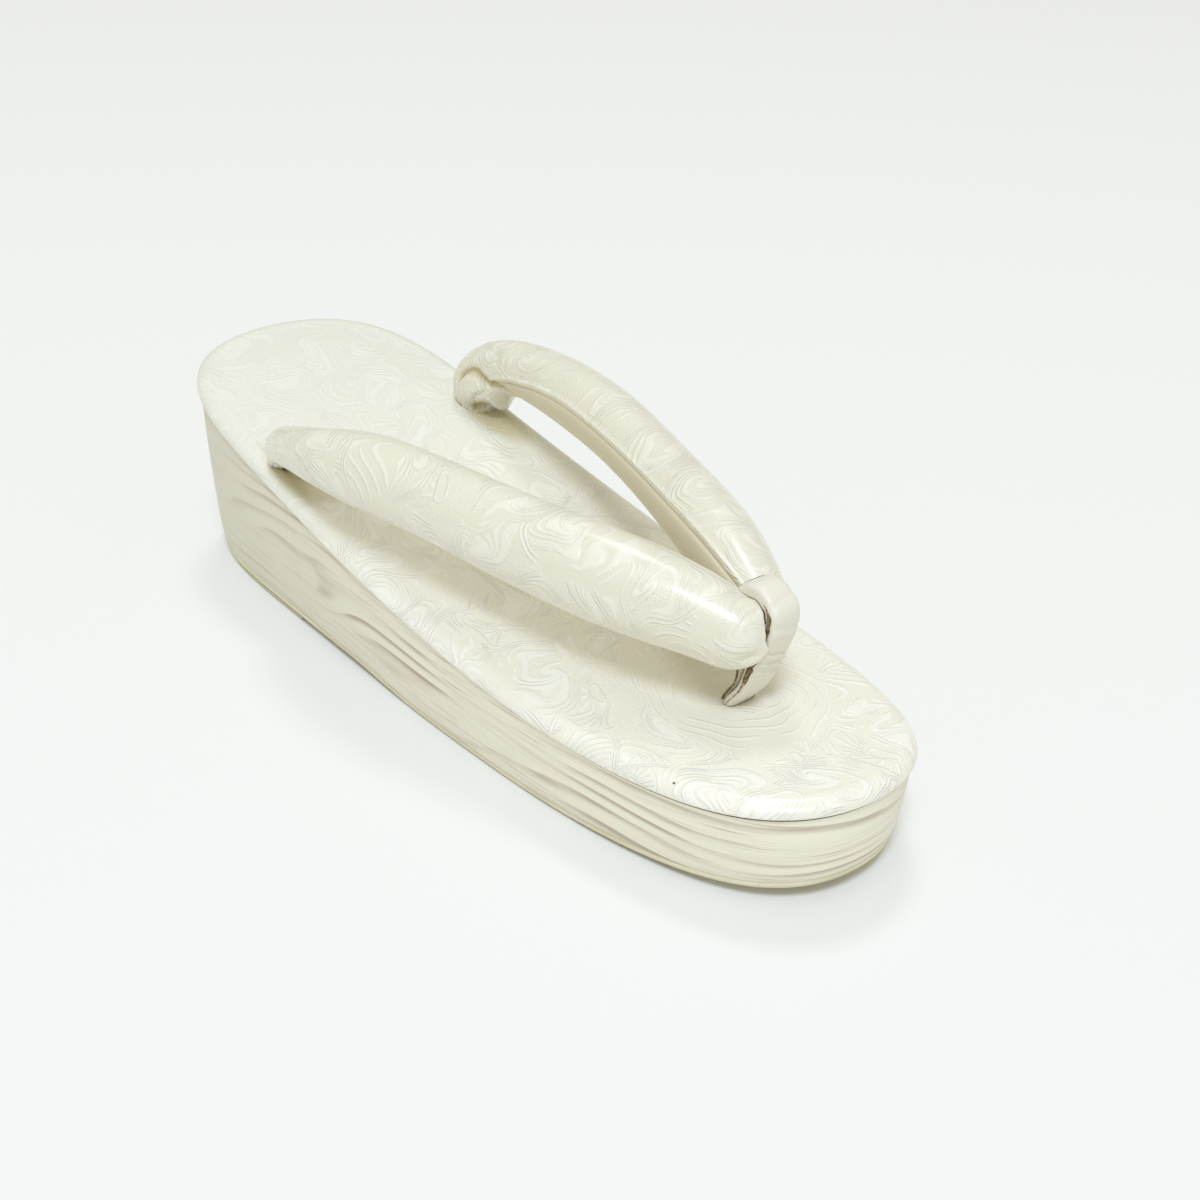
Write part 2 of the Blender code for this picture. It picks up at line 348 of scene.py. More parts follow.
rubber, rubber_shader, wire = finish("cream_rubber", Roughness=0.55, Specular_IOR_Level=0.35)
place = wire.places()
mottle = place.noise(MOTTLE_SCALE, 3).between(*MOTTLE_SHOWS)
feed(rubber_shader, Base_Color=mottle.mix(rgb(*RUBBER), rgb(*RUBBER_MOTTLE)),
     Normal=bump(place.noise(RUBBER_GRAIN_SCALE, 2), RUBBER_GRAIN))

rings = [ring(inset, lambda s, up=up: underside_height(s) + up) for inset, up in OUTSOLE_EDGE]
outsole = piece("outsole_sheet", skin("outsole_sheet", rings, (crosswise, crosswise)), rubber)

kept = outline(0)[0] < HEEL_PAD_END - CORNER_ROOM
rings = []
for inset, height in HEEL_PAD_EDGE:
    level = ring(inset, lambda s, height=height: np.full_like(s, height))
    front = HEEL_PAD_END - inset + HEEL_PAD_EDGE[-1][0]
    one_side = level[OUTLINE_POINTS // 2:0:-1]
    corner = np.interp(front, one_side[:, 0], one_side[:, 1])
    rings.append(np.concatenate([level[kept], [[front, -corner, height], [front, corner, height]]]))
heel_lift = piece("heel_lift", skin("heel_lift", rings, (one_face, one_face)), rubber)

for thing, node in ((outsole, "outsole"), (heel_lift, "heel_pad")):
    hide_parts(node)
    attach(thing, "root")

# ---------------------------------------------------------------- wedge
# The body of the sole is a light foam wedge, high at the heel. A thin sheet printed with pale wood
# grain is wrapped round its side and glued, its two ends meeting at the back of the heel. Its top
# edge is eased off into a groove under the cover's rim, and the faces of that groove carry a
# painted shade, a dark brown-grey that stands in for the shadow in the groove.
WEDGE_EDGE_COLUMNS = ("part_of_height", "inset")
WEDGE_EDGE_ROWS = ((0.0, 3.4), (0.04, 2.9), (0.15, 2.4), (0.4, 1.7), (0.7, 1.15), (1.0, 0.9))
WEDGE_LEVELS = 30
WEDGE_BEVEL = 0.65
TOP_THICKNESS = 3.5
CLOSE = 0.05
GROOVE_WIDTH = 1.0
SIDE_SHARE = 0.96
SEAM_SHADE = (136, 127, 110)
WOOD_PALE = (242, 239, 221)
WOOD_PALE_HEEL = (219, 215, 195)
WOOD_DARK = (174, 156, 134)
HEEL_TONES = (-0.04, 0.1)
WOOD_RELIEF = 0.00003
RING_SPACING = 4.6
RING_WANDER = 7.0
LATE_WOOD = (0.35, 0.88)
LATE_WOOD_ENDS = (0.9, 1.0)
# How fast each kind of grain changes along the side and up it, per millimetre
WANDER = (0.011, 0.05)
PATCHES = (0.012, 0.07)
FIBRES = (0.035, 2.2)
FINE_FIBRES = (0.05, 5.0)
# From which value to which the noise of the fibres shows, and the patches that carry each grain
FIBRES_SHOW = (0.5, 0.72)
FINE_FIBRES_SHOW = (0.42, 0.7)
RING_PATCHES = (0.4, 0.68)
FIBRE_PATCHES = (0.62, 0.4)
FINE_FIBRE_PATCHES = (0.66, 0.44)
# How dark each kind of grain is, and how much of it is lost towards the heel
RING_WEIGHT = 0.9
FIBRE_WEIGHT = 0.5
FINE_FIBRE_WEIGHT = 0.4
HEEL_FADE = 0.45
WOOD_ROUGHNESS = 0.38
GRAIN_ROUGHNESS = 0.1


def wedge_low(from_heel):
    """Height of the wedge's underside."""
    return underside_height(from_heel) + OUTSOLE_THICKNESS + CLOSE


def wedge_high(from_heel):
    """Height of the wedge's top."""
    return top_height(from_heel) - TOP_THICKNESS - CLOSE


def streaks(place, drawn_out, scale=1, detail=2):
    """Noise drawn out along the grain."""
    return place.vector("MULTIPLY", (*drawn_out, 0)).noise(scale, detail)


def along_rings(rings):
    """How far round each ring its points lie, from the back of the heel, in millimetres."""
    rings = np.array(rings)
    rings = np.concatenate([rings, rings[:, :1]], axis=1)
    steps = np.linalg.norm(np.diff(rings, axis=1), axis=2)
    return np.concatenate([np.zeros((len(rings), 1)), np.cumsum(steps, axis=1)], axis=1)


# Painted shade: the eased-off faces under the cover's rim are painted dark brown-grey for the shadow
# in the groove.
painted_seam_shade, painted_seam_shade_shader, wire = finish("seam_shade", Roughness=0.8)
painted_seam_shade_shader.inputs["Base Color"].default_value = rgb(*SEAM_SHADE)
wood, wood_shader, wire = finish("wood_grain_sheet", Roughness=0.42)
place = wire.map_places()
wander = streaks(place, WANDER, detail=1)
patch = streaks(place, PATCHES, 1.3)
phase = (place.part(1) / RING_SPACING + wander * RING_WANDER).math("FRACT")
late_wood = phase.between(*LATE_WOOD) * (1 - phase.between(*LATE_WOOD_ENDS))
late_wood = late_wood * patch.between(*RING_PATCHES)
fibres = streaks(place, FIBRES).between(*FIBRES_SHOW) * patch.between(*FIBRE_PATCHES)
fine = streaks(place, FINE_FIBRES).between(*FINE_FIBRES_SHOW) * patch.between(*FINE_FIBRE_PATCHES)
towards_heel = wire.places().part(1).between(*HEEL_TONES)
grain = late_wood * RING_WEIGHT + fibres * FIBRE_WEIGHT + fine * FINE_FIBRE_WEIGHT
grain = grain * (1 - towards_heel * HEEL_FADE)
pale = towards_heel.mix(rgb(*WOOD_PALE), rgb(*WOOD_PALE_HEEL))
feed(wood_shader, Base_Color=grain.between(0.0, 1.0).mix(pale, rgb(*WOOD_DARK)),
     Roughness=grain * GRAIN_ROUGHNESS + WOOD_ROUGHNESS, Normal=bump(grain, WOOD_RELIEF))

levels = [(0, share) for share in np.linspace(0, SIDE_SHARE, WEDGE_LEVELS)]
levels += [(-WEDGE_BEVEL, 1), (-WEDGE_BEVEL * 0.8, 1), (0, 1)]
knots = column(WEDGE_EDGE_ROWS, WEDGE_EDGE_COLUMNS, "part_of_height")
edge_insets = column(WEDGE_EDGE_ROWS, WEDGE_EDGE_COLUMNS, "inset")
insets = np.interp([share for _, share in levels], knots, edge_insets)
insets[-2:] += GROOVE_WIDTH
rings = []
for (drop, share), inset in zip(levels, insets):
    level = ring(inset, lambda s: wedge_low(s) + share * (wedge_high(s) - wedge_low(s)) + drop)
    rings.append(np.roll(level, -OUTLINE_POINTS // 2, axis=0))
heights = np.array(rings)[:, :, 2]
heights = np.concatenate([heights, heights[:, :1]], axis=1)
shape = skin("wedge_body", rings, (crosswise, crosswise), along_rings(rings) / MAP_UNIT,
             heights / MAP_UNIT)
# The last two bands of faces, the eased-off top edge, take the painted seam shade.
seam = np.zeros(len(shape.polygons), dtype=int)
seam[OUTLINE_POINTS * (len(rings) - 3):OUTLINE_POINTS * (len(rings) - 1)] = 1
shape.polygons.foreach_set("material_index", seam)
wedge = piece("wedge_body", shape, wood, painted_seam_shade)

# ---------------------------------------------------------------- top cover
# The foot rests on a thin padded board covered in pearly synthetic leather, embossed with scrolls
# and leaves. The cover is turned down round a soft rim, and overhangs the wedge by a hair. It is
# pulled into dimples where the strap goes down, and beside the two at the back it carries a painted
# shade, yellowish, for the shadow under the limbs' ends.
TOP_CUSHION = 0.7
RIM_WIDTH = 4.6
RIM_UNDERCUT = 0.5
RIM_STEPS = 12
CUSHION_WIDTH = 15.0
TOP_RINGS = 56
SPINE = (26.0, 214.0)
# From the heel, across, reach and depth of each dimple
DIMPLES = ((196.5, 1.9, 5.0, 0.7), (61.0, 31.0, 8.0, 0.7), (61.0, -31.0, 7.0, 0.7))
# Where the map starts under the rim, from the rim's outline outwards
UNDER_RIM = (-3.6, -3.1, -2.7)
# Places on the map: across, from the heel
TOE_HOLE = (1.9, 196.0)
PAINTED_SHADE_CENTRE = (30.5, 69.0)
PAINTED_SHADE_SQUEEZE = 0.45
PAINTED_SHADE_AREA = (62.0, 6.0)
SPECK = (-30.0, 211.0)
SPECK_EDGE = (0.42, 0.22)
PEARL = (241, 239, 224)
# Painted light: towards the heel the ground and the ridges are painted cooler and duller for how the
# lamps fall on the heel's slope.
PEARL_HEEL = (226, 227, 214)
# The raised lines are painted lighter than the ground: painted sheen on the ridges, and painted
# shade in the hollows between them.
PEARL_RIDGE_SHEEN = (248, 247, 237)
PEARL_RIDGE_SHEEN_HEEL = (233, 234, 222)
# Painted highlights: small pale glints scattered over the heel.
GLINT = (238, 238, 227)
# Colour of the painted shade beside the limbs' ends at the back.
PAINTED_LIMB_SHADE = (203, 191, 146)
SPECK_DARK = (96, 88, 72)
LEATHER = {"Roughness": 0.4, "Coat_Weight": 0.75, "Coat_Roughness": 0.22}
HEEL_ZONE_EDGE = (-0.01, 0.09)
HEEL_RELIEF_FADE = 0.5
HEEL_TONE_SHARE = 0.8
GLINT_SCALE = 0.9
GLINTS_SHOW = (0.56, 0.72)
GLINT_TONE = 0.8
PAINTED_SHADE_TONE = 0.8
RELIEF = 0.00017
RIDGE_SHEEN_SHOWS = (0.1, 0.8)
# Ripples drawn round the toe hole
RIPPLE = 2.7
RIPPLE_SQUEEZE = 0.85
RIPPLE_SWAY = (0.06, 9.0)
RIPPLE_STROKES = 0.09
RIPPLE_BREAKS = (0.36, 0.5)
RIPPLES_IN = (5.0, 8.0)
RIPPLES_OUT = (17.0, 22.0)

# The embossed ornament, in millimetres on the map. Each motif is a scroll, a fan or waves, and a
# slow noise bends them all and breaks their lines off.
MOTIF = 17.5
MOTIF_SCATTER = 0.9
SCROLLS_BELOW = 0.68
WAVES_ABOVE = 0.84
MOTIF_EDGE = (0.9, 1.8)
EDGE_LINE = 0.6
EDGE_BREAKS = (0.42, 0.54)
LINE = (0.0, 0.5)
STROKES = 0.1
# Scale of a noise that bends the motifs, how far it moves them, and its detail
SWAY = (0.035, 30.0, 0.5)
SWIRL = (0.11, 7.0, 0)
ARMS = 3.0
ARM_CURL = 1.1
ARM_START = 0.8
LOG_BASE = 2.718
ARM_STRANDS = 4.0
STRAND_SPREAD = 5.0
STRANDED_ARMS = 2.3
SCROLL_BREAKS = (0.34, 0.5)
ARM_EDGE_SPREAD = 1.3
ARM_EDGE_PLACE = 0.36
SPOKES = 20.0
SPOKE_LEAN = 0.1
SPOKE_SPREAD = 3.2
SPOKES_IN = (2.6, 3.6)
SPOKES_OUT = (7.5, 8.5)
FAN_OPENS = (-0.25, 0.0)
FAN_INNER = 2.2
FAN_OUTER = 9.2
FAN_PEBBLES = (3.0, 4.0)
WAVE_SCALE = 0.04
WAVE_COUNT = 19.0
WAVE_SPREAD = 2.0
WAVE_BREAKS = (0.36, 0.5)
PEBBLE = 0.6
PEBBLE_FALL = 1.3
PEBBLES_IN_MOTIF = 0.4
PEBBLES_OVER_ALL = 0.22
CENTRED = (0.5, 0.5, 0.5)
TURN = 2 * np.pi


def drawn_line(off):
    """A soft raised line of even width, from the distance to its middle in millimetres."""
    return 1 - off.math("ABSOLUTE").between(*LINE)


def bend(place, scale, reach, detail):
    """A vector that bends a pattern, by up to half of reach to each side."""
    shift = place.noise(scale, detail, output=1).vector("SUBTRACT", CENTRED)
    return shift.vector("MULTIPLY", (reach, reach, 0))


def embossing(place):
    """The leather's relief, from 0 to 1, at places on the map."""
    flat = {"voronoi_dimensions": "2D"}
    bent = place.vector("ADD", bend(place, *SWAY)).vector("ADD", bend(place, *SWIRL))
    motif = {"Vector": bent, "Scale": 1 / MOTIF, "Randomness": MOTIF_SCATTER}
    centre = bent.node("TexVoronoi", dict(flat), motif, 2)
    chance = bent.node("TexVoronoi", dict(flat), motif, 1)
    edge = bent.node("TexVoronoi", {**flat, "feature": "DISTANCE_TO_EDGE"}, motif) * MOTIF
    kind, hand, start = (chance.node("SeparateColor", {}, {0: chance}, i) for i in range(3))
    local = bent.vector("SUBTRACT", centre)
    reach = local.length()
    sense = (hand.math("GREATER_THAN", 0.5) * 2) - 1
    angle = local.part(1).math("ARCTAN2", local.part(0)) * sense / TURN + start
    stroke = place.noise(STROKES, 1)
    pebbles = place.node("TexVoronoi", dict(flat), {"Vector": place, "Scale": 1 / PEBBLE})
    pebbles = 1 - pebbles * PEBBLE_FALL

    arms = angle * ARMS + (reach + ARM_START).math("LOGARITHM", LOG_BASE) * ARM_CURL
    within = arms.math("FRACT")
    strands = drawn_line((within * ARM_STRANDS).off_middle() * reach / STRAND_SPREAD)
    arm_edge = (within - 0.5).math("ABSOLUTE") * reach / ARM_EDGE_SPREAD - reach * ARM_EDGE_PLACE
    stranded = arms.math("FLOORED_MODULO", ARMS).math("LESS_THAN", STRANDED_ARMS)
    scroll = stranded * strands * stroke.between(*SCROLL_BREAKS)
    scroll = scroll + (1 - stranded) * pebbles * PEBBLES_IN_MOTIF
    scroll = scroll.math("MAXIMUM", drawn_line(arm_edge))

    spokes = (angle * SPOKES + reach * SPOKE_LEAN).off_middle() * reach / SPOKE_SPREAD
    spokes = drawn_line(spokes)
    half_turn = (angle * TURN).math("SINE").between(*FAN_OPENS)
    fan = spokes * reach.between(*SPOKES_IN) * (1 - reach.between(*SPOKES_OUT)) * half_turn
    fan = fan.math("MAXIMUM", drawn_line(reach - FAN_INNER))
    fan = fan.math("MAXIMUM", drawn_line(reach - FAN_OUTER) * half_turn)
    fan = fan + (1 - half_turn) * reach.between(*FAN_PEBBLES) * pebbles * PEBBLES_IN_MOTIF

    waves = (place.noise(WAVE_SCALE, 0) * WAVE_COUNT).off_middle() * WAVE_SPREAD
    waves = drawn_line(waves) * stroke.between(*WAVE_BREAKS)

    is_scroll = kind.math("LESS_THAN", SCROLLS_BELOW)
    is_waves = kind.math("GREATER_THAN", WAVES_ABOVE)
    drawn = is_scroll * scroll + is_waves * waves + (1 - is_scroll - is_waves) * fan
    edge_lines = drawn_line(edge - EDGE_LINE) * stroke.between(*EDGE_BREAKS)
    drawn = (drawn * edge.between(*MOTIF_EDGE)).math("MAXIMUM", edge_lines)
    return drawn + pebbles * PEBBLES_OVER_ALL


leather, leather_shader, wire = finish("top_leather", **LEATHER)
place = wire.map_places()
from_hole = place.vector("SUBTRACT", (*TOE_HOLE, 0)).vector("MULTIPLY", (1.0, RIPPLE_SQUEEZE, 0))
far = from_hole.length()
ripples = far + place.noise(RIPPLE_SWAY[0], 1) * RIPPLE_SWAY[1]
ripples = drawn_line((ripples / RIPPLE).off_middle() * RIPPLE)
ripples = ripples * place.noise(RIPPLE_STROKES, 1).between(*RIPPLE_BREAKS)
near_hole = far.between(*RIPPLES_IN) * (1 - far.between(*RIPPLES_OUT))
relief = near_hole.node("Mix", {}, {0: near_hole, 2: embossing(place), 3: ripples})
# Towards the heel the relief fades, and the colour is painted cooler and duller as painted light for
# how the lamps fall on the heel's slope.
heel_zone = wire.places().part(1).between(*HEEL_ZONE_EDGE)
relief = relief * (1 - heel_zone * HEEL_RELIEF_FADE)
ground = (heel_zone * HEEL_TONE_SHARE).mix(rgb(*PEARL), rgb(*PEARL_HEEL))
# Painted sheen: the ridges of the relief are painted lighter, over a ground left darker as painted
# shade in the hollows.
ridge_sheen = (heel_zone * HEEL_TONE_SHARE).mix(rgb(*PEARL_RIDGE_SHEEN), rgb(*PEARL_RIDGE_SHEEN_HEEL))
tone = relief.between(*RIDGE_SHEEN_SHOWS).mix(ground, ridge_sheen)
# Painted highlight: pale glint speckles in the heel zone.
glint = place.noise(GLINT_SCALE, 2).between(*GLINTS_SHOW) * heel_zone
tone = (glint * GLINT_TONE).mix(tone, rgb(*GLINT))
# Painted shade: beside each strap hole at the back, a yellowish patch stands in for the shadow under
# the limb's end.
off_across = place.part(0).math("ABSOLUTE") - PAINTED_SHADE_CENTRE[0]
off_along = (place.part(1) - PAINTED_SHADE_CENTRE[1]) * PAINTED_SHADE_SQUEEZE
painted_shade = (off_across * off_across + off_along * off_along).between(*PAINTED_SHADE_AREA)
tone = (painted_shade * PAINTED_SHADE_TONE).mix(tone, rgb(*PAINTED_LIMB_SHADE))
speck = place.vector("DISTANCE", (*SPECK, 0)).between(*SPECK_EDGE)
feed(leather_shader, Base_Color=speck.mix(tone, rgb(*SPECK_DARK)), Normal=bump(relief, RELIEF))


def rim_ring(inset, up):
    """A ring round the cover's rim, at a height above the cover's underside."""
    return ring(inset, lambda s: top_height(s) - TOP_THICKNESS + up)


rings = [
    rim_ring(RIM_UNDERCUT, 0),
    rim_ring(RIM_UNDERCUT * 0.3, RIM_UNDERCUT * 0.2),
    rim_ring(0, RIM_UNDERCUT),
]
rise = TOP_THICKNESS - RIM_UNDERCUT
spread = list(UNDER_RIM)
for step in range(1, RIM_STEPS + 1):
    turn = np.pi / 2 * step / RIM_STEPS
    inset = RIM_WIDTH * (1 - np.cos(turn))
    rings.append(rim_ring(inset, RIM_UNDERCUT + rise * np.sin(turn)))
    spread.append(UNDER_RIM[-1] + (RIM_WIDTH - UNDER_RIM[-1]) * step / RIM_STEPS)
flat_map = [np.stack(outline(out), axis=1) for out in spread]
edge = rings[-1]
spine = np.stack([np.clip(edge[:, 0], *SPINE), np.zeros(len(edge))], axis=1)
for step in range(1, TOP_RINGS + 1):
    share = step / TOP_RINGS
    plan = edge[:, :2] * (1 - share) + spine * share
    inward = np.linalg.norm(plan - edge[:, :2], axis=1)
    height = top_height(plan[:, 0]) + TOP_CUSHION * ease(inward / CUSHION_WIDTH)
    for from_heel, across, reach, depth in DIMPLES:
        away = (plan[:, 0] - from_heel) ** 2 + (plan[:, 1] - across) ** 2
        height -= depth * np.exp(-away / reach ** 2)
    rings.append(np.column_stack([plan, height]))
    flat_map.append(plan)
flat_map = np.array(flat_map)
flat_map = np.concatenate([flat_map, flat_map[:, :1]], axis=1) / MAP_UNIT
shape = skin("top_cover_leather", rings, (crosswise, None), flat_map[:, :, 1], flat_map[:, :, 0])
top_cover = piece("top_cover_leather", shape, leather)

# ---------------------------------------------------------------- strap
# The upper is two stuffed limbs of the same embossed leather, sewn to a plain lining that faces the
# foot. Their seams are turned ridges, their ends are drawn into holes in the sole, and the limbs
# press against each other where they meet at the toe.
LIMB_COLUMNS = ("from_heel", "across", "above_top", "half_width", "tilt")
RIGHT_LIMB_BACK = (
    (62.0, 30.6, -9.0, 3.8, -10),
    (61.5, 31.0, 0.0, 4.2, -12),
    (64.8, 32.4, 5.0, 4.6, 0),
    (70.0, 34.6, 10.2, 5.0, 10),
    (85.5, 35.0, 16.4, 6.7, 30),
    (104.0, 32.2, 21.4, 9.0, 45),
    (124.0, 28.4, 24.3, 9.4, 48),
)
LEFT_LIMB_BACK = (
    (62.0, 29.8, -9.0, 4.5, -10),
    (60.5, 31.2, 0.0, 5.8, -14),
    (61.0, 31.0, 6.4, 7.2, -5),
    (68.0, 33.8, 13.4, 7.9, 10),
    (85.0, 34.5, 18.2, 9.3, 30),
    (104.0, 32.0, 22.0, 10.1, 45),
    (124.0, 28.2, 24.6, 10.1, 48),
)
LIMB_FRONT = (
    (148.0, 22.6, 25.1, 10.0, 53),
    (174.0, 14.7, 24.6, 10.4, 60),
    (191.0, 7.9, 22.6, 9.2, 68),
    (201.0, 3.9, 20.4, 8.1, 73),
    (207.4, 0.8, 18.8, 7.2, 75),
)
LEFT = 1
RIGHT = -1
MIDDLE_LINE = np.array([0.0, 1.0, 0.0])
LIMB_THICKNESS_SHARE = 0.9
LINING_SHARE = 0.85
LINING_FLATNESS = 0.8
LIMB_TIP = 8.5
LIMB_BLUNTNESS = 0.02
LIMB_STEPS = 28
LIMB_SIDES = 112
PRESSED = 1.2
MEAN_RADIUS = 9.0
LEAST_RADIUS = 1e-6
SEAM_ANGLES = (200.0, 340.0)
RIDGE_HEIGHT = 0.55
RIDGE_HALF_ANGLE = 6.5
GROOVE_DEPTH = 0.35
GROOVE_HALF_ANGLE = 3.5
GROOVE_INWARD = 9.0
LINING_EDGE = 5.0
LINING_START = 34.0
GATHERS = 17
GATHER_DEPTH = 0.28
GATHER_LENGTH = 30.0
GATHER_SWING = 5.0
CREASE_DEPTH = 1.5
TUCK_PLACE = 20.0
TUCK_LENGTH = 13.0
LEFT_TUCK = 1.05
RIGHT_TUCK = 0.3
PLAIN_FROM_TIP = (1.0, 4.0)
STRAP_PEARL = (230, 227, 208)
# The strap's raised lines are painted lighter: painted sheen on the ridges, over a darker ground as
# painted shade.
STRAP_RIDGE_SHEEN = (237, 235, 220)
# Painted shade: folds near the limbs' ends are painted a darker olive for the shadow in them.
CREASE_SHADE = (206, 193, 150)
CREASE_SHOWS = (0.15, 0.9)
CREASE_TONE = 0.9
LINING = (223, 216, 191)
# The folds of each limb: depth, half width, and a line of places along it and degrees round it
LEFT_FOLDS = (
    (1.9, 1.7, ((17.0, 168), (21.0, 177), (26.0, 196), (31.6, 215), (36.0, 231), (39.4, 248))),
    (2.2, 2.6, ((9.5, 205), (10.5, 235), (11.5, 262), (12.5, 290))),
    (0.5, 1.8, ((24.0, 118), (26.5, 135), (31.6, 154), (33.0, 172))),
    (3.0, 3.5, ((169.5, 60), (170.5, 100), (170.5, 140))),
)
RIGHT_FOLDS = (
    (0.9, 1.6, ((7.0, 225), (8.0, 262), (9.0, 300))),
    (0.4, 1.4, ((12.0, 20), (20.0, 34), (31.0, 40))),
    (2.6, 3.0, ((164.0, 62), (165.5, 100), (165.5, 135))),
    (-1.6, 2.5, ((164.0, 175), (162.0, 186), (160.5, 194))),
)


def path(rows, columns, steps):
    """Each column of a table read smoothly between its rows, steps to a row."""
    knots = np.arange(len(rows), dtype=float)
    at = np.linspace(0, knots[-1], (len(rows) - 1) * steps + 1)
    return {name: smooth(knots, column(rows, columns, name), at) for name in columns}


def unit(vectors):
    """Vectors of length one."""
    return vectors / np.linalg.norm(vectors, axis=-1, keepdims=True)


def square_to(directions, vector):
    """The part of one vector that is square to each direction, at length one."""
    return unit(vector - (directions @ vector)[:, None] * directions)


def hump(off, half_width):
    """A soft ridge: 1 where off is 0, and nearly 0 past half_width."""
    return np.exp(-(off / half_width) ** 2 * 2)


def trough(along, around, line, half_width):
    """How near each place on a limb is to a fold's line, from 0 to 1."""
    nearest = np.full(along.shape, np.inf)
    line = [(there, np.radians(turn) * MEAN_RADIUS) for there, turn in line]
    for (x, y), (next_x, next_y) in zip(line, line[1:]):
        step_x, step_y = next_x - x, next_y - y
        share = ((along - x) * step_x + (around - y) * step_y) / (step_x ** 2 + step_y ** 2)
        share = np.clip(share, 0, 1)
        away = np.hypot(along - x - share * step_x, around - y - share * step_y)
        nearest = np.minimum(nearest, away)
    return hump(nearest, half_width)


def limb_rings(rows, side, tuck, folds, grow=0):
    """Rings of one limb, from the end in the sole to the toe. When grown, it is plain."""
    read = path(rows, LIMB_COLUMNS, LIMB_STEPS)
    height = top_height(read["from_heel"]) + read["above_top"]
    centre = np.stack([read["from_heel"], read["across"], height], axis=1)
    steps = np.linalg.norm(np.diff(centre, axis=0), axis=1)
    gone = np.append(0, np.cumsum(steps))
    to_tip = gone[-1] - gone
    rounding = np.sqrt(1 - (1 - np.clip(to_tip / LIMB_TIP, LIMB_BLUNTNESS, 1)) ** 2)
    half = (read["half_width"] * rounding)[:, None]
    along = unit(np.gradient(centre, axis=0))
    level = square_to(along, MIDDLE_LINE)
    lean = np.radians(read["tilt"])[:, None]
    broad = level * np.cos(lean) - np.cross(along, level) * np.sin(lean)
    through = np.cross(along, broad)
    turn = np.linspace(-np.pi / 2, 3 * np.pi / 2, LIMB_SIDES, endpoint=False)
    bunched = 1 + tuck * hump(gone - TUCK_PLACE, TUCK_LENGTH)[:, None]
    lined = -LINING_SHARE * np.abs(np.sin(turn)) ** LINING_FLATNESS * bunched
    round_side = np.where(np.sin(turn) >= 0, np.sin(turn), lined)
    wide = half * np.cos(turn)
    thick = half * LIMB_THICKNESS_SHARE * round_side
    degrees = np.degrees(turn) % 360
    relief = np.zeros((len(gone), LIMB_SIDES))
    for seam, inward in zip(SEAM_ANGLES, (1, -1)):
        relief += RIDGE_HEIGHT * hump(degrees - seam, RIDGE_HALF_ANGLE)
        relief -= GROOVE_DEPTH * hump(degrees - seam - inward * GROOVE_INWARD, GROOVE_HALF_ANGLE)
    drawn_in = (1 - ease(gone / GATHER_LENGTH))[:, None]
    relief += GATHER_DEPTH * drawn_in * np.sin(turn * GATHERS + np.sin(gone / GATHER_SWING)[:, None])
    flat_along, flat_around = np.broadcast_arrays(gone[:, None], np.radians(degrees) * MEAN_RADIUS)
    creased = np.zeros_like(relief)
    for depth, half_width, line in folds:
        near = trough(flat_along, flat_around, line, half_width)
        relief -= depth * near
        if line[0][0] < GATHER_LENGTH:
            creased = np.maximum(creased, near * min(1, depth / CREASE_DEPTH))
    if grow:
        relief = np.full_like(relief, grow) * MEAN_RADIUS / half
    radius = np.hypot(wide, thick)
    grown = 1 + relief * np.minimum(1, half / MEAN_RADIUS) / np.maximum(radius, LEAST_RADIUS)
    points = (centre[:, None] + (wide * grown)[:, :, None] * broad[:, None]
              + (thick * grown)[:, :, None] * through[:, None])
    across = points[:, :, 1]
    points[:, :, 1] = (across + np.sqrt(across ** 2 + PRESSED ** 2)) / 2 * side
    around = np.radians(np.linspace(-90, 270, LIMB_SIDES + 1)) * MEAN_RADIUS
    along_map = np.tile(to_tip[:, None], (1, LIMB_SIDES + 1)) / MAP_UNIT
    around_map = np.tile(around, (len(gone), 1)) / MAP_UNIT
    return list(points), along_map, around_map, creased, gone


lining, lining_shader, wire = finish("strap_lining", Roughness=0.6)
lining_shader.inputs["Base Color"].default_value = rgb(*LINING)
strap_leather, strap_shader, wire = finish("strap_leather", **LEATHER)
place = wire.map_places()
relief = embossing(place) * place.part(0).between(*PLAIN_FROM_TIP)
# Painted sheen on the relief's ridges, painted shade in the hollows between them.
tone = relief.between(*RIDGE_SHEEN_SHOWS).mix(rgb(*STRAP_PEARL), rgb(*STRAP_RIDGE_SHEEN))
# Painted shade: the creased attribute darkens the folds near the limbs' ends, standing in for the
# shadow in them.
creased = wire.node("Attribute", {"attribute_name": "creased"}, {}, 2).between(*CREASE_SHOWS)
tone = (creased * CREASE_TONE).mix(tone, rgb(*CREASE_SHADE))
feed(strap_shader, Base_Color=tone, Normal=bump(relief, RELIEF))

turns = (np.arange(LIMB_SIDES) + 0.5) * 360 / LIMB_SIDES - 90
lined = (turns > SEAM_ANGLES[0] + LINING_EDGE) & (turns < SEAM_ANGLES[1] - LINING_EDGE)
lined |= turns < SEAM_ANGLES[1] - 360 - LINING_EDGE
limbs = []
for name, back, side, tuck, folds in (
    ("left_limb", LEFT_LIMB_BACK, LEFT, LEFT_TUCK, LEFT_FOLDS),
    ("right_limb", RIGHT_LIMB_BACK, RIGHT, RIGHT_TUCK, RIGHT_FOLDS),
):
    points, along_map, around_map, creased, gone = limb_rings(back + LIMB_FRONT, side, tuck, folds)
    shape = skin(name, points, (one_face, one_face), along_map, around_map)
    shape.attributes.new("creased", "FLOAT", "POINT").data.foreach_set("value", creased.ravel())
    faces = np.zeros(len(shape.polygons), dtype=int)
    faces[:LIMB_SIDES * (len(points) - 1)] = (lined & (gone[:-1, None] > LINING_START)).ravel()
    shape.polygons.foreach_set("material_index", faces)
    limbs.append(piece(name, shape, strap_leather, lining))

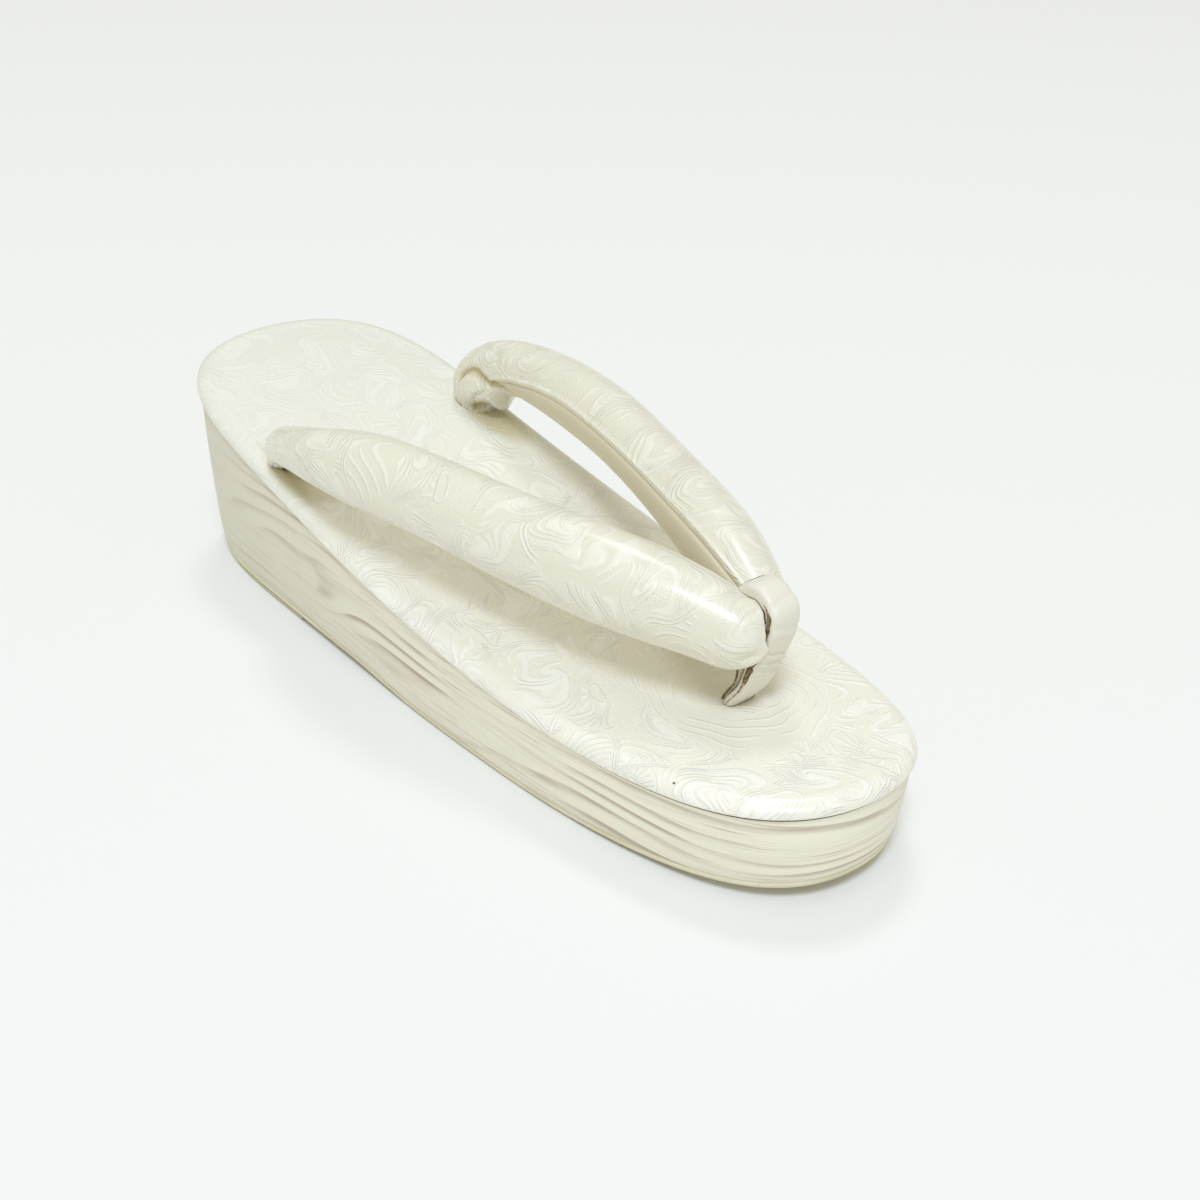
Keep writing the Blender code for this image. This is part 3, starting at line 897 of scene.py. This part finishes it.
# ---------------------------------------------------------------- toe loop
# A narrow band of plain pearly leather, folded with raw edges, comes out of the sole, runs up
# behind the strap, over it and down in front, and binds the two limbs together. Its edges on the
# wearer's right are torn and bare, with crumbs of brown backing along them.
LOOP_COLUMNS = ("from_heel", "across", "above_hole", "half_width", "half_thickness")
LOOP_ROWS = (
    (195.4, 2.3, -8.0, 3.0, 0.7),
    (194.8, 2.2, 0.0, 3.4, 0.7),
    (198.2, 2.0, 5.6, 3.6, 0.6),
    (199.4, 2.0, 10.8, 3.8, 0.9),
    (198.8, 2.2, 16.0, 4.0, 1.3),
    (197.2, 2.6, 21.5, 4.2, 1.7),
    (197.2, 2.9, 26.2, 4.2, 1.9),
    (200.0, 3.0, 29.0, 3.9, 1.9),
    (203.7, 2.9, 29.1, 3.9, 1.9),
    (206.6, 2.8, 26.6, 4.0, 1.9),
    (206.9, 2.7, 22.9, 4.1, 1.9),
    (205.3, 2.3, 17.3, 4.3, 1.9),
    (203.4, 1.7, 11.5, 4.4, 1.8),
    (200.9, 1.5, 5.6, 4.2, 1.5),
    (197.1, 1.5, 0.2, 4.1, 1.3),
    (197.2, 2.2, -4.0, 3.3, 1.2),
    (197.2, 2.3, -8.0, 3.0, 1.2),
)
# Depth, half width, place along the band and slant of each wrinkle
LOOP_WRINKLES = (
    (0.35, 0.5, 58.0, 1.6),
    (0.25, 0.4, 60.4, 1.0),
    (0.25, 0.45, 63.0, 1.5),
    (0.2, 1.0, 46.0, -1.0),
    (0.15, 0.8, 51.0, 1.0),
)
LOOP_SOFTNESS = 0.55
LOOP_HOLE = 196.0
LOOP_STEPS = 14
LOOP_SIDES = 48
CUTTER_STEPS = 6
CUTTER_SIDES = 32
LOOP_ROOM = 0.12
STRAP_ROOM = 0.08
# Where the right limb gapes from the band: how far, the middle along the band, and its half length
NOTCH = (0.75, 52.0, 6.5)
# Places along the band, in millimetres: up to here it is behind the strap
REAR_END = 32.0
BESIDE_LIMB = ((43, 48), (55, 58))
UNDER_LIMB = ((57, 60), (65, 68))
# How far the bare edge reaches in, as a part of the way round the band, and its fraying
RAW_REAR = 0.07
RAW_FOLDED_IN = 0.04
RAW_BESIDE_LIMB = 0.06
RAW_UNDER_LIMB = 0.05
RAW_EDGE = (0.022, 0.04)
FRAYING = 0.03
FRAYING_SCALE = 900
BAND_SHINE = {"Roughness": 0.5, "Coat_Weight": 0.25, "Coat_Roughness": 0.3}
BAND_ROUGHNESS = 0.45
RAW_ROUGHNESS = 0.4
BAND_PEARL = (231, 228, 213)
BAND_RELIEF = 0.00018
BAND_GRAIN_SCALE = 1500
BAND_CREASE_SCALE = 500
BACKING = (203, 190, 156)
BACKING_DARK = (112, 90, 56)
BACKING_SCALE = 700
BACKING_SHOWS = (0.35, 0.65)
# Painted shade on the raw backing: darker behind the strap, and beside and under the right limb.
PAINTED_SHADE_BEHIND = 0.4
PAINTED_SHADE_AT_LIMB = 0.6
TORN = (214, 203, 170)
TORN_DARK = (112, 92, 58)
TORN_SCALE = 1400
TORN_SHOWS = (0.4, 0.62)
TORN_RELIEF_SCALE = 2600
TORN_RELIEF = 0.0002
# Name, stretch along the band, count, radius and seed of the crumbs on each torn edge
CRUMBS = (
    ("front_edge", (46.0, 69.0), 150, 0.17, 3),
    ("rear_edge", (11.0, 25.0), 70, 0.15, 8),
)
CRUMB_SPREAD = 0.28
SMALLEST_CRUMB = (0.5, 0.4, 0.4)
LARGEST_CRUMB = (2.2, 1.0, 0.9)


def band_path(steps):
    """The band's middle line, which way it runs, how far each point is along it, and its table."""
    read = path(LOOP_ROWS, LOOP_COLUMNS, steps)
    height = top_height(LOOP_HOLE) + read["above_hole"]
    centre = np.stack([read["from_heel"], read["across"], height], axis=1)
    along = unit(np.gradient(centre, axis=0))
    gone = np.append(0, np.cumsum(np.linalg.norm(np.diff(centre, axis=0), axis=1)))
    return centre, along, gone, read


def band_edge(first, last, steps):
    """Points along the band's edge on the wearer's right, between two places along the band."""
    centre, along, gone, read = band_path(steps)
    edge = centre - square_to(along, MIDDLE_LINE) * read["half_width"][:, None]
    return edge[(gone > first) & (gone < last)]


def crumbs_on_edge():
    """A tree that sets small torn crumbs along a line, each turned and sized at random."""
    tree = bpy.data.node_groups.new("torn_edge_crumbs", "GeometryNodeTree")
    tree.interface.new_socket("Geometry", in_out="INPUT", socket_type="NodeSocketGeometry")
    inputs = (("Count", "Int"), ("Crumb Radius", "Float"), ("Spread", "Float"), ("Seed", "Int"))
    for name, kind in inputs:
        tree.interface.new_socket(name, in_out="INPUT", socket_type="NodeSocket" + kind)
    tree.interface.new_socket("Geometry", in_out="OUTPUT", socket_type="NodeSocketGeometry")
    entry = tree.nodes.new("NodeGroupInput")
    sockets = list(entry.outputs)[:5]
    geometry, count, radius, spread, seed = (Wire(tree, socket) for socket in sockets)
    line = geometry.node("GeometryNodeMeshToCurve", {}, {0: geometry})
    line = line.node("GeometryNodeResampleCurve", {"mode": "COUNT"},
                     {"Curve": line, "Count": count})
    shift = seed.node("FunctionNodeRandomValue", {"data_type": "FLOAT_VECTOR"},
                      {0: (-1.0, -1.0, -1.0), 1: (1.0, 1.0, 1.0), "Seed": seed})
    shift = shift.node("ShaderNodeVectorMath", {"operation": "SCALE"}, {0: shift, "Scale": spread})
    points = line.node("GeometryNodeCurveToPoints", {"mode": "EVALUATED"}, {"Curve": line})
    points = points.node("GeometryNodeSetPosition", {}, {"Geometry": points, "Offset": shift})
    crumb = radius.node("GeometryNodeMeshIcoSphere", {}, {"Radius": radius, "Subdivisions": 1})
    turned = seed.node("FunctionNodeRandomValue", {"data_type": "FLOAT_VECTOR"},
                       {0: (0.0, 0.0, 0.0), 1: (TURN, TURN, TURN), "Seed": seed})
    sized = seed.node("FunctionNodeRandomValue", {"data_type": "FLOAT_VECTOR"},
                      {0: SMALLEST_CRUMB, 1: LARGEST_CRUMB, "Seed": seed})
    scattered = points.node("GeometryNodeInstanceOnPoints", {}, {
        "Points": points, "Instance": crumb, "Rotation": turned, "Scale": sized})
    solid = scattered.node("GeometryNodeRealizeInstances", {}, {"Geometry": scattered})
    painted = solid.node("GeometryNodeSetMaterial", {}, {"Geometry": solid, "Material": raw_edge})
    leave = tree.nodes.new("NodeGroupOutput")
    tree.links.new(painted.socket, leave.inputs[0])
    return tree


def loop_rings(grow, steps, sides, notch=0):
    """Rings of the band, grown by a clearance, and by a notch where the right limb's end gapes."""
    centre, along, gone, read = band_path(steps)
    centre[0] -= along[0] * grow
    centre[-1] += along[-1] * grow
    broad = square_to(along, MIDDLE_LINE)
    through = np.cross(along, broad)
    turn = np.linspace(0, 2 * np.pi, sides, endpoint=False)
    wide = np.sign(np.cos(turn)) * np.abs(np.cos(turn)) ** LOOP_SOFTNESS
    thick = np.sign(np.sin(turn)) * np.abs(np.sin(turn)) ** LOOP_SOFTNESS
    wide = (read["half_width"] + grow)[:, None] * wide
    thick = (read["half_thickness"] + grow)[:, None] * thick
    for depth, half_width, place, slant in LOOP_WRINKLES:
        off = gone[:, None] - place - slant * np.cos(turn)
        swelling = hump(off - half_width * 2, half_width * 1.5) - hump(off, half_width)
        thick += depth * swelling * np.sign(thick)
    wide -= notch * hump(gone - NOTCH[1], NOTCH[2])[:, None] * (np.cos(turn) < 0)
    points = (centre[:, None] + wide[:, :, None] * broad[:, None]
              + thick[:, :, None] * through[:, None])
    along_map = np.tile(gone[:, None], (1, sides + 1)) / MAP_UNIT
    around_map = np.tile(np.linspace(0, 1, sides + 1), (len(gone), 1))
    return list(points), along_map, around_map


def as_modified(thing):
    """A mesh of the thing with its modifiers worked out, which are then taken off."""
    made = bpy.data.meshes.new_from_object(
        thing.evaluated_get(bpy.context.evaluated_depsgraph_get()))
    thing.modifiers.clear()
    return made


def cut_away(thing, cutter):
    """Cuts one solid out of another. The new faces keep the cutter's material."""
    modifier = thing.modifiers.new("cut", "BOOLEAN")
    modifier.material_mode = "TRANSFER"
    modifier.operation = "DIFFERENCE"
    modifier.solver = "MANIFOLD"
    modifier.object = cutter
    bpy.context.view_layer.update()
    old, thing.data = thing.data, as_modified(thing)
    bpy.data.meshes.remove(old)
    thing.data.shade_smooth()
    thing.data.set_sharp_from_angle(angle=np.radians(SHARP_EDGE))


def make_room(points, things):
    """Cuts a closed skin over rings of points out of some things."""
    clearance = piece("clearance", skin("clearance", points, (one_face, one_face)), raw_edge)
    for thing in things:
        cut_away(thing, clearance)
    bpy.data.objects.remove(clearance)


raw_edge, raw_shader, wire = finish("raw_leather_edge", Roughness=0.85, Specular_IOR_Level=0.2)
place = wire.places()
torn = place.noise(TORN_SCALE, 3).between(*TORN_SHOWS)
feed(raw_shader, Base_Color=torn.mix(rgb(*TORN), rgb(*TORN_DARK)),
     Normal=bump(place.noise(TORN_RELIEF_SCALE, 2), TORN_RELIEF))

band_leather, band_shader, wire = finish("band_leather", **BAND_SHINE)
place = wire.node("UVMap", {}, {})
from_edge = (place.part(1) * 2).off_middle().math("ABSOLUTE") * -1 + 0.5
along = place.part(0) * MAP_UNIT
ragged = wire.places()
rear = along.math("LESS_THAN", REAR_END)
folded_in = 1 - along.between(*UNDER_LIMB[0]) - rear
beside_limb = along.between(*BESIDE_LIMB[0]) * (1 - along.between(*BESIDE_LIMB[1]))
under_limb = along.between(*UNDER_LIMB[0]) * (1 - along.between(*UNDER_LIMB[1]))
width = rear * RAW_REAR - folded_in * RAW_FOLDED_IN
width = width + beside_limb * RAW_BESIDE_LIMB + under_limb * RAW_UNDER_LIMB
raw = 1 - (from_edge + ragged.noise(FRAYING_SCALE, 2) * FRAYING - width).between(*RAW_EDGE)
# The backing's own brown mottle, painted darker behind the strap and beside and under the right limb
# as painted shade.
darker = ragged.noise(BACKING_SCALE, 3).between(*BACKING_SHOWS) + rear * PAINTED_SHADE_BEHIND
darker = darker + (beside_limb + under_limb) * PAINTED_SHADE_AT_LIMB
backing = darker.mix(rgb(*BACKING), rgb(*BACKING_DARK))
grain = ragged.noise(BAND_GRAIN_SCALE, 2) * 0.7 + ragged.noise(BAND_CREASE_SCALE, 2)
feed(band_shader, Base_Color=raw.mix(rgb(*BAND_PEARL), backing),
     Roughness=raw * RAW_ROUGHNESS + BAND_ROUGHNESS, Normal=bump(grain, BAND_RELIEF))

points, along_map, around_map = loop_rings(0, LOOP_STEPS, LOOP_SIDES)
shape = skin("toe_band", points, (one_face, one_face), along_map, around_map)
toe_loop = piece("toe_band", shape, band_leather)
make_room(loop_rings(LOOP_ROOM, CUTTER_STEPS, CUTTER_SIDES, NOTCH[0])[0], limbs)
make_room(loop_rings(LOOP_ROOM, CUTTER_STEPS, CUTTER_SIDES)[0], (top_cover, wedge))
make_room(limb_rings(LEFT_LIMB_BACK, LEFT, LEFT_TUCK, (), STRAP_ROOM)[0], (top_cover, wedge))
make_room(limb_rings(RIGHT_LIMB_BACK, RIGHT, RIGHT_TUCK, (), STRAP_ROOM)[0], (top_cover, wedge))

crumbs = []
tree = crumbs_on_edge()
for name, stretch, count, radius, seed in CRUMBS:
    edge = in_frame(band_edge(*stretch, LOOP_STEPS))
    line = bpy.data.meshes.new(name)
    line.from_pydata(edge.tolist(), [(i, i + 1) for i in range(len(edge) - 1)], [])
    thing = bpy.data.objects.new("torn_" + name, line)
    bpy.context.scene.collection.objects.link(thing)
    modifier = thing.modifiers.new("crumbs", "NODES")
    modifier.node_group = tree
    sizes = {"Count": count, "Crumb Radius": radius * METRES, "Spread": CRUMB_SPREAD * METRES,
             "Seed": seed}
    for socket in tree.interface.items_tree:
        if socket.name in sizes:
            modifier[socket.identifier] = sizes[socket.name]
    thing.data = as_modified(thing)
    thing.data.materials.clear()
    thing.data.materials.append(raw_edge)
    faces = np.zeros(len(thing.data.polygons), dtype=int)
    thing.data.polygons.foreach_set("material_index", faces)
    bpy.data.meshes.remove(line)
    crumbs.append(thing)

for thing, node in (
    (wedge, "wedge"), (top_cover, "top_cover"), (limbs[0], "strap"), (limbs[1], "strap"),
    (toe_loop, "toe_loop"), (crumbs[0], "toe_loop"), (crumbs[1], "toe_loop"),
):
    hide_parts(node)
    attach(thing, "root")

# ---------------------------------------------------------------- floor, light and camera
# The sandal stands on a pale, matt sheet of paper in a white room. Two square soft boxes hang over
# it, the strong one behind the camera and the weak one beyond the sandal, and the camera looks
# down at it from the toe end, on the wearer's right.
CAMERA_PLACE = (-0.2205, -0.2935, 0.2244)
CAMERA_RIGHT = Vector((0.7704, -0.6375, 0.0141)).normalized()
CAMERA_AHEAD = Vector((0.5602, 0.6660, -0.4926)).normalized()
CAMERA_LENS = 50.34
SENSOR_WIDTH = 36.0
FLOOR_REACH = 4.0
FLOOR_WHITE = (0.852, 0.858, 0.84, 1)
ROOM_WHITE = (1.0, 0.955, 0.8, 1)
ROOM_STRENGTH = 0.565
# Name, place, point that it shines at, size, watts and colour of each soft box
LIGHTS = (
    ("key", (-1.85, -2.1, 4.75), (0, -0.02, 0.03), 1.5, 150, (0.9, 0.99, 1.19)),
    ("back", (1.3, 1.55, 4.63), (0, 0, 0.03), 1.0, 34, (0.96, 1.0, 1.06)),
)

floor_mesh = bpy.data.meshes.new("floor")
corners = [(x * FLOOR_REACH, y * FLOOR_REACH, 0) for x, y in ((-1, -1), (1, -1), (1, 1), (-1, 1))]
floor_mesh.from_pydata(corners, [], [(0, 1, 2, 3)])
floor = bpy.data.objects.new("floor", floor_mesh)
bpy.context.scene.collection.objects.link(floor)
floor_paint, floor_shader, wire = finish("floor_paint", Roughness=0.7, Specular_IOR_Level=0.2)
floor_shader.inputs["Base Color"].default_value = FLOOR_WHITE
floor_mesh.materials.append(floor_paint)

world = bpy.data.worlds.new("studio")
world.use_nodes = True
world.node_tree.nodes["Background"].inputs["Color"].default_value = ROOM_WHITE
world.node_tree.nodes["Background"].inputs["Strength"].default_value = ROOM_STRENGTH
bpy.context.scene.world = world

for name, place, aim, size, watts, colour in LIGHTS:
    light = bpy.data.lights.new(name, "AREA")
    light.shape = "SQUARE"
    light.size = size
    light.energy = watts
    light.color = colour
    thing = bpy.data.objects.new(name, light)
    thing.location = place
    thing.rotation_mode = "QUATERNION"
    thing.rotation_quaternion = (Vector(aim) - Vector(place)).to_track_quat("-Z", "Y")
    bpy.context.scene.collection.objects.link(thing)

camera_up = CAMERA_RIGHT.cross(CAMERA_AHEAD)
camera = bpy.data.objects.new("camera", bpy.data.cameras.new("camera"))
camera.data.lens = CAMERA_LENS
camera.data.sensor_width = SENSOR_WIDTH
camera.data.clip_start = 0.01
turned = Matrix((CAMERA_RIGHT, camera_up, -CAMERA_AHEAD)).transposed().to_4x4()
camera.matrix_world = Matrix.Translation(CAMERA_PLACE) @ turned
bpy.context.scene.collection.objects.link(camera)
bpy.context.scene.camera = camera
bpy.context.scene.view_settings.view_transform = "Standard"
